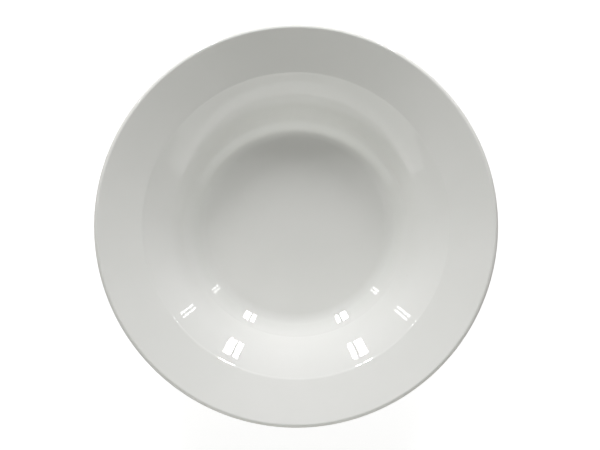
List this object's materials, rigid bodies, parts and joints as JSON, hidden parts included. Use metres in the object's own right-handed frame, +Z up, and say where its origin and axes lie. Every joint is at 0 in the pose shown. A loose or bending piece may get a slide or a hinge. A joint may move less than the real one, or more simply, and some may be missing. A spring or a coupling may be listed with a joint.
{
  "type": "pasta bowl",
  "caption": "Round pasta bowl in white glazed porcelain: wide sloping rim, deep curved well with a flat floor, rounded lip and a bare foot ring underneath.",
  "frame": {"origin": "centre of the foot ring, on the plane of the table", "axes": "+Z up along the axis of the bowl, X and Y any two level directions, as the bowl is round"},
  "size_m": [0.3, 0.3, 0.0585],
  "materials": {
    "porcelain_body": "bare fired clay, matt, seen only on the land of the foot ring",
    "glaze_main": "clear gloss glaze on white porcelain",
    "glaze_recess": "clear gloss glaze on white porcelain"
  },
  "bodies": {
    "root": {"porcelain_body": "porcelain_body", "glaze_main": "glaze_main", "glaze_recess": "glaze_recess"}
  },
  "joints": []
}
